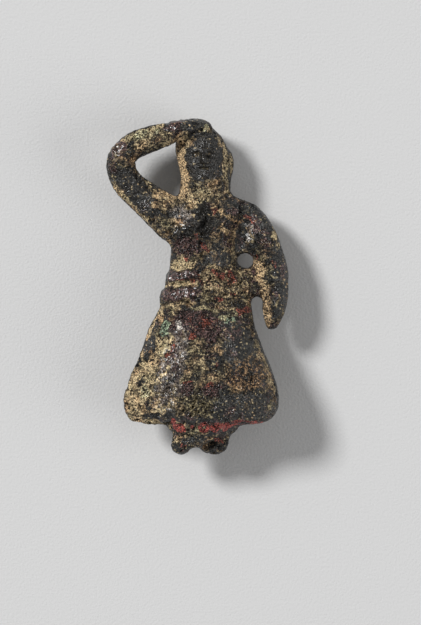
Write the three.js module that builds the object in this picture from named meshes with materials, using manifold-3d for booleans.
// A small solid-cast bronze figure of a woman, lying on its back as excavated.
// She wears a long bell-shaped dress with two girdle bands. One arm is bent up with the hand on
// the head, the other hangs in a loose pointed sleeve, joined to the hip by a web with a hole.
// Millimetres. +X is to the viewer's right, +Y towards the head, +Z up towards the viewer.
// The origin is on the table, in the middle of the figure's length and width.
import * as THREE from "three";
import { mergeVertices } from "three/addons/utils/BufferGeometryUtils.js";
import Module from "manifold-3d";

const wasm = await Module();
wasm.setup();

// Driving dimensions of the casting
const SCALE = 1; // 1 is a figure 60 mm long
const HEM_HALF_WIDTH = 13.7;
const HEM_DEPTH = 16.2;
const HEM_LEVEL = -24.3; // the flat underside of the dress
const GIRDLE_LEVEL = 1.7; // middle of the upper band
const WAIST_HALF_WIDTH = 5.8;
const BUST_LEVEL = 12.2;
const SHOULDER_LEVEL = 15.2;
const HEAD_TOP = 29.2;
const HEAD_HALF_WIDTH = 4.7;
const HEAD_DEPTH = 9.6;
const ARM_HALF_WIDTH = 2.5;
const ARM_HEIGHT = 7.9; // height of the shoulders and of the hand's fingers above the table
const ELBOW_LIFT = 0.9; // how much higher the bent elbow and the wrist stand
const SLEEVE_HEIGHT = 7.4; // height of the hanging sleeve
const FACE_LEVEL = 22.9; // middle of the face
const FEET_END = -30.0;
const WEB_HOLE_RADIUS = 1.43;
const WEB_HOLE_AT = [8.5, 4.7];
const REST_DEPTH = 0.25; // how far wear has flattened the back where it lies

// How square the skirt is at its four corners, against the rest of the dress. On the viewer's left
// both faces slope to a thin edge; on the right the front is full and the side is steep.
const LEFT_CORNERS = { front: 0.5, back: 0.6 };
const RIGHT_CORNERS = { front: 1.35, back: 1 };

// One row of a loft is a section: where its widest line is, its half width, how far it rises to the
// front and falls to the back of that line, and how square it is (2 is an ellipse).
const section = (x, y, z, wide, front, back = front, square = 2.2) => ({
  place: new THREE.Vector3(x, y, z),
  size: new THREE.Vector3(wide, front, back),
  square: new THREE.Vector3(square, 0, 0),
});

// Smooth hill of height 1 at the middle, falling to 0 at half a span to each side.
const hill = (value, middle, span) => {
  const away = Math.abs(value - middle) / (span / 2);
  return away < 1 ? 0.5 + 0.5 * Math.cos(Math.PI * away) : 0;
};

const power = (value, exponent) => Math.sign(value) * Math.abs(value) ** exponent;

// Bends a capsule along a row of sections. Its round ends reach past the first and last section
// by startRound and endRound. The sections of a limb stand square to its path, and those of an
// upright piece stay level. swell adds to the half sizes and corner multiplies the squareness, both
// as functions of the level y and of the direction from the middle line.
function loft(sections, shape = {}) {
  const { around = 20, along = 20, caps = 3, startRound = 1, endRound = 1, upright = false } = shape;
  const { swell = () => 0, corner = () => 1 } = shape;
  const places = new THREE.CatmullRomCurve3(sections.map((s) => s.place));
  const sizes = new THREE.CatmullRomCurve3(sections.map((s) => s.size));
  const squares = new THREE.CatmullRomCurve3(sections.map((s) => s.square));
  const capsule = new THREE.CapsuleGeometry(1, 1, caps, around, along);
  capsule.deleteAttribute("normal");
  capsule.deleteAttribute("uv");
  const geometry = mergeVertices(capsule);
  const points = geometry.getAttribute("position");
  const up = new THREE.Vector3(0, 0, 1);
  for (let i = 0; i < points.count; i++) {
    const unit = new THREE.Vector3().fromBufferAttribute(points, i);
    const t = THREE.MathUtils.clamp(unit.y + 0.5, 0, 1);
    const past = unit.y - (t - 0.5);
    const centre = places.getPoint(t);
    const ahead = upright ? new THREE.Vector3(0, 1, 0) : places.getTangent(t);
    const side = new THREE.Vector3().crossVectors(ahead, up).normalize();
    const rise = new THREE.Vector3().crossVectors(side, ahead);
    const size = sizes.getPoint(t);
    const radius = Math.hypot(unit.x, unit.z);
    const across = radius ? unit.x / radius : 0;
    const upward = radius ? unit.z / radius : 0;
    const squareness = 2 / (squares.getPoint(t).x * corner(centre.y, across, upward));
    const extra = swell(centre.y, across, upward);
    const height = upward > 0 ? size.y : size.z;
    centre
      .addScaledVector(ahead, past * (past < 0 ? startRound : endRound))
      .addScaledVector(side, radius * power(across, squareness) * (size.x + extra))
      .addScaledVector(rise, radius * power(upward, squareness) * (height + extra));
    points.setXYZ(i, centre.x, centre.y, centre.z);
  }
  return geometry;
}

// A closed mesh as a solid that can be joined and cut.
function solid(geometry) {
  const bare = geometry.clone();
  bare.deleteAttribute("normal");
  bare.deleteAttribute("uv");
  const merged = mergeVertices(bare);
  const corners = [];
  for (let i = 0; i < merged.index.count; i += 3) {
    const [a, b, c] = [0, 1, 2].map((k) => merged.index.getX(i + k));
    if (a !== b && b !== c && c !== a) corners.push(a, b, c);
  }
  return new wasm.Manifold(
    new wasm.Mesh({
      numProp: 3,
      vertProperties: merged.getAttribute("position").array,
      triVerts: new Uint32Array(corners),
    }),
  );
}

// The dress from the underside of the hem to the shoulders. The skirt is a straight bell with a
// rounded hem; it lies on the back of the hem, so its middle line climbs towards the hem.
function dress() {
  const middle = HEM_DEPTH * 0.54;
  const front = HEM_DEPTH - middle;
  const rows = [
    section(0.4, HEM_LEVEL, middle, HEM_HALF_WIDTH * 0.79, front * 0.79, middle * 0.48),
    section(0.5, HEM_LEVEL + 0.9, middle, HEM_HALF_WIDTH * 0.92, front * 0.9, middle * 0.74),
    section(0.6, HEM_LEVEL + 2.4, middle, HEM_HALF_WIDTH * 0.985, front * 0.96, middle),
    section(0.6, HEM_LEVEL + 4.2, middle, HEM_HALF_WIDTH, front, middle),
    section(0.8, -17.8, 8.5, 13.2, 7.8, 8.2),
    section(0.8, -14.6, 8.3, 12.15, 8.0, 7.5),
    section(0.8, -11.1, 8.0, 10.95, 7.6, 6.7),
    section(0.8, -7.4, 7.8, 9.5, 7.0, 5.8),
    section(1.35, -4.0, 7.6, 8.35, 5.8, 5.1),
    section(1.4, -0.8, 7.4, 7.7, 5.0, 4.5),
    section(1.1, 1.7, 7.2, 6.5, 4.6, 4.2),
    section(1.0, 5.0, 7.0, WAIST_HALF_WIDTH, 4.3, 4.0),
    section(1.0, 8.6, 6.8, WAIST_HALF_WIDTH, 4.5, 4.3),
    section(1.45, 12.2, 6.7, 6.75, 4.3, 4.5),
    section(1.55, SHOULDER_LEVEL - 0.4, 6.4, 7.0, 3.7, 4.3),
    section(1.35, SHOULDER_LEVEL + 0.8, 6.1, 5.95, 2.9, 3.9),
  ];
  // Two girdle bands with a groove between them, the lower one stepping out to the skirt. On the
  // front a low bust and a blunt keel run down to the girdle.
  const swell = (y, across, upward) => {
    const bands = 0.3 * hill(y, GIRDLE_LEVEL, 2.6) + 0.3 * hill(y, GIRDLE_LEVEL - 3.2, 2.8);
    const groove = 0.25 * hill(y, GIRDLE_LEVEL - 1.5, 1.2);
    const keel = 0.4 * hill(across, -0.15, 0.6) * hill(y, 4.5, 13);
    const breasts = 0.75 * hill(across, -0.5, 0.8) + 0.45 * hill(across, 0.35, 0.8);
    const bust = breasts * hill(y, BUST_LEVEL, 8);
    return bands - groove + (upward > 0 ? keel + bust : 0);
  };
  const corner = (y, across, upward) => {
    const face = upward > 0 ? "front" : "back";
    const toRight = THREE.MathUtils.smoothstep(across, -0.7, 0.3);
    const part = THREE.MathUtils.lerp(LEFT_CORNERS[face], RIGHT_CORNERS[face], toRight);
    return THREE.MathUtils.lerp(1, part, THREE.MathUtils.smoothstep(-y, 0, 12));
  };
  return loft(rows, {
    around: 32, along: 48, caps: 2, startRound: 0.25, endRound: 0.5, upright: true, swell, corner,
  });
}

// Head and neck are one upright block, since long hair falls to the shoulders on both sides.
function head() {
  const middle = HEAD_DEPTH * 0.53;
  const front = HEAD_DEPTH - middle;
  return loft(
    [
      section(1.3, SHOULDER_LEVEL - 1.5, middle + 0.6, 5.2, front - 0.6, middle - 1.2, 2.6),
      section(1.3, SHOULDER_LEVEL + 1.2, middle + 0.3, 4.95, front - 0.6, middle - 1.0, 2.6),
      section(1.35, SHOULDER_LEVEL + 2.6, middle + 0.2, 4.4, front - 0.5, middle - 0.8, 2.7),
      section(1.25, SHOULDER_LEVEL + 5.2, middle, HEAD_HALF_WIDTH * 0.95, front - 0.1, middle - 0.1, 2.7),
      section(0.85, SHOULDER_LEVEL + 8.4, middle, HEAD_HALF_WIDTH, front, middle, 2.5),
      section(0.2, SHOULDER_LEVEL + 11.2, middle, HEAD_HALF_WIDTH * 0.9, front * 0.9, middle * 0.88, 2.3),
      section(-0.2, HEAD_TOP - 0.9, middle, HEAD_HALF_WIDTH * 0.6, front * 0.55, middle * 0.55, 2.1),
    ],
    { around: 22, along: 16, caps: 3, startRound: 0.5, endRound: 0.9, upright: true },
  );
}

// The roll of hair beside the head, on the side away from the raised arm
function hairRoll() {
  return loft(
    [
      section(4.9, SHOULDER_LEVEL + 3.2, 3.6, 1.0, 2.2),
      section(5.1, SHOULDER_LEVEL + 6.6, 3.6, 1.25, 2.6),
      section(4.9, SHOULDER_LEVEL + 8.6, 3.6, 1.1, 2.3),
    ],
    { around: 12, along: 6, caps: 2, startRound: 0.8, endRound: 0.9 },
  );
}

// The bent arm: out from the shoulder, round the elbow and back, with the hand on the head
function raisedArm() {
  const z = ARM_HEIGHT;
  const elbow = z + ELBOW_LIFT;
  return loft(
    [
      section(0.6, 9.4, z - 1.2, ARM_HALF_WIDTH * 1.8, 3.4),
      section(-2.9, 11.4, z - 0.8, ARM_HALF_WIDTH * 1.74, 3.3),
      section(-6.7, 13.95, z - 0.5, ARM_HALF_WIDTH * 1.36, 3.1),
      section(-10.1, 16.5, z - 0.5, ARM_HALF_WIDTH * 1.14, 2.9),
      section(-12.6, 18.9, z + 0.2, ARM_HALF_WIDTH * 1.04, 2.75),
      section(-13.65, 22.0, elbow, ARM_HALF_WIDTH, 2.7),
      section(-12.5, 24.4, elbow, ARM_HALF_WIDTH * 0.98, 2.65),
      section(-9.7, 25.95, elbow - 0.4, ARM_HALF_WIDTH * 0.98, 2.55),
      section(-6.6, 26.8, elbow - 0.2, ARM_HALF_WIDTH * 0.84, 2.4),
      section(-3.9, 27.6, elbow, ARM_HALF_WIDTH * 0.74, 2.3),
      section(-0.5, 28.25, z - 0.1, ARM_HALF_WIDTH * 0.66, 2.2),
      section(1.3, 28.1, z - 0.4, ARM_HALF_WIDTH * 0.58, 2.0),
    ],
    { around: 14, along: 36, caps: 3, startRound: 1, endRound: 1.2 },
  );
}

// The hanging arm in its sleeve, which ends in a blunt point beside the skirt
function hangingArm() {
  const z = SLEEVE_HEIGHT;
  return loft(
    [
      section(5.6, 13.0, z - 2.1, 2.9, 2.4),
      section(8.7, 12.5, z - 1.5, 2.8, 2.3),
      section(11.1, 9.8, z - 0.6, ARM_HALF_WIDTH * 1.06, 2.25),
      section(12.5, 6.0, z, ARM_HALF_WIDTH * 1.14, 2.15),
      section(13.45, 2.4, z, ARM_HALF_WIDTH * 1.1, 2.1),
      section(13.75, -1.2, z + 0.4, ARM_HALF_WIDTH * 0.98, 1.9),
      section(13.55, -4.4, z + 0.4, ARM_HALF_WIDTH * 0.82, 1.65),
      section(13.15, -6.8, z + 0.4, ARM_HALF_WIDTH * 0.46, 1.2),
    ],
    { around: 14, along: 26, caps: 3, startRound: 1, endRound: 0.9 },
  );
}

// The web of bronze between torso and sleeve: sunk at the top, nearly level at the hip
function web() {
  const z = ARM_HEIGHT;
  return loft(
    [
      section(7.6, 11.0, z - 1.3, 2.2, 1.9),
      section(8.3, 7.2, z - 1.2, 2.6, 1.7),
      section(8.8, 3.4, z - 0.9, 2.9, 2.0),
      section(9.2, 0.6, z - 0.4, 3.0, 2.4),
      section(9.3, -0.9, z - 0.3, 2.8, 2.4),
    ],
    { around: 12, along: 12, caps: 2, startRound: 0.8, endRound: 1.2 },
  );
}

// A ball stretched to its three half sizes, the same way round as the axes
const ball = (x, y, z, halfX, halfY, halfZ, turns = 12, rings = 8) =>
  new THREE.SphereGeometry(1, turns, rings).scale(halfX, halfY, halfZ).translate(x, y, z);

// A plain worn face on even proportions: an oval with brow and nose. It leans with the head, so
// its middle drifts with the level.
const faceX = (y) => 0.95 - 0.13 * (y - FACE_LEVEL);
function face() {
  const front = HEAD_DEPTH + 0.35;
  const browY = FACE_LEVEL + 1.5;
  const oval = ball(faceX(FACE_LEVEL), FACE_LEVEL, front - 1.9, 3.3, 4.0, 1.75, 12, 8);
  const nose = loft(
    [
      section(faceX(browY), browY, front - 0.5, 0.45, 0.5),
      section(faceX(browY - 2.1), browY - 2.1, front - 0.3, 0.65, 0.7),
    ],
    { around: 8, along: 2, caps: 2, startRound: 0.4, endRound: 0.4 },
  );
  const browSection = (across) => {
    const fall = Math.abs(across);
    return section(faceX(browY) + across, browY + 0.2 - 0.1 * fall, front - 0.65 - 0.3 * fall, 0.5, 0.5);
  };
  const brow = loft([-1.8, 0, 1.8].map(browSection), {
    around: 8, along: 4, caps: 2, startRound: 0.4, endRound: 0.4,
  });
  return [oval, nose, brow];
}

// The shallow hollows of the two eyes, under the brow
function eyeHollows() {
  const eyeY = FACE_LEVEL + 0.45;
  const fromNose = 1.45;
  const hollow = (way) =>
    ball(faceX(eyeY) + way * fromNose, eyeY, HEAD_DEPTH + 0.45, 0.9, 0.6, 0.7, 8, 6);
  return [-1, 1].map(hollow);
}

// What is left below the hem: a stump that narrows from the dress, the slanting edge of an under
// dress across it, and two worn, broken feet
function feet() {
  const stump = loft(
    [
      section(0.6, HEM_LEVEL - 3.4, 9.2, 4.4, 2.2, 2.8),
      section(0.9, HEM_LEVEL - 2.0, 9.6, 5.1, 3.2, 3.3),
      section(1.0, HEM_LEVEL - 0.6, 9.8, 6.6, 4.1, 3.9),
      section(1.2, HEM_LEVEL + 3.5, 8.4, 7.8, 5.6, 4.6),
    ],
    { around: 18, along: 7, caps: 2, startRound: 0.6, endRound: 0.4, upright: true },
  );
  const underDress = loft(
    [
      section(-3.2, FEET_END + 2.2, 9.7, 1.2, 1.9),
      section(0.6, HEM_LEVEL - 2.9, 10.3, 1.3, 2.0),
      section(4.0, HEM_LEVEL - 1.6, 10.4, 1.3, 2.0),
      section(6.3, HEM_LEVEL - 0.5, 10.2, 1.1, 1.6),
    ],
    { around: 10, along: 8, caps: 2, startRound: 0.6, endRound: 0.6 },
  );
  const leftFoot = loft(
    [
      section(-2.6, HEM_LEVEL - 1.4, 9.6, 1.75, 2.4),
      section(-2.9, FEET_END + 1.7, 9.1, 1.85, 2.2),
    ],
    { around: 12, along: 4, caps: 3, startRound: 1, endRound: 1.6 },
  );
  const rightFoot = loft(
    [
      section(2.9, HEM_LEVEL - 1.2, 9.2, 3.1, 2.3),
      section(2.6, FEET_END + 2.2, 8.6, 2.9, 2.1),
    ],
    { around: 14, along: 4, caps: 3, startRound: 1, endRound: 2.1 },
  );
  return [stump, underDress, leftFoot, rightFoot];
}

// The hollow in the broken front of the right foot
const footHollow = () => ball(2.2, FEET_END + 1.9, 10.8, 1.1, 0.75, 1.1, 10, 7);

// Everything joined into one casting, with the hole through the web and the worn back cut flat
function casting() {
  const parts = [dress(), head(), hairRoll(), ...face(), raisedArm(), hangingArm(), web(), ...feet()];
  const whole = parts.map(solid).reduce((sum, part) => sum.add(part));
  const hole = new THREE.CylinderGeometry(WEB_HOLE_RADIUS, WEB_HOLE_RADIUS, 30, 20)
    .rotateX(Math.PI / 2)
    .translate(WEB_HOLE_AT[0], WEB_HOLE_AT[1], ARM_HEIGHT);
  const table = new THREE.BoxGeometry(80, 100, 20).translate(0, 0, REST_DEPTH - 10);
  const cuts = [hole, table, footHollow(), ...eyeHollows()].map(solid);
  const mesh = cuts.reduce((left, cut) => left.subtract(cut), whole).getMesh();
  const geometry = new THREE.BufferGeometry()
    .setAttribute("position", new THREE.BufferAttribute(Float32Array.from(mesh.vertProperties), 3))
    .setIndex(new THREE.BufferAttribute(Uint32Array.from(mesh.triVerts), 1));
  geometry.computeBoundingBox();
  const middle = geometry.boundingBox.getCenter(new THREE.Vector3());
  geometry.translate(-middle.x, -middle.y, -geometry.boundingBox.min.z).scale(SCALE, SCALE, SCALE);
  geometry.computeVertexNormals();
  return geometry;
}

const bronze = new THREE.MeshStandardMaterial({ color: 0x4a4133, roughness: 0.62, metalness: 0.35 });
const figure = new THREE.Mesh(casting(), bronze);
figure.name = "figure";

const group = new THREE.Group();
group.add(figure);

export default group;
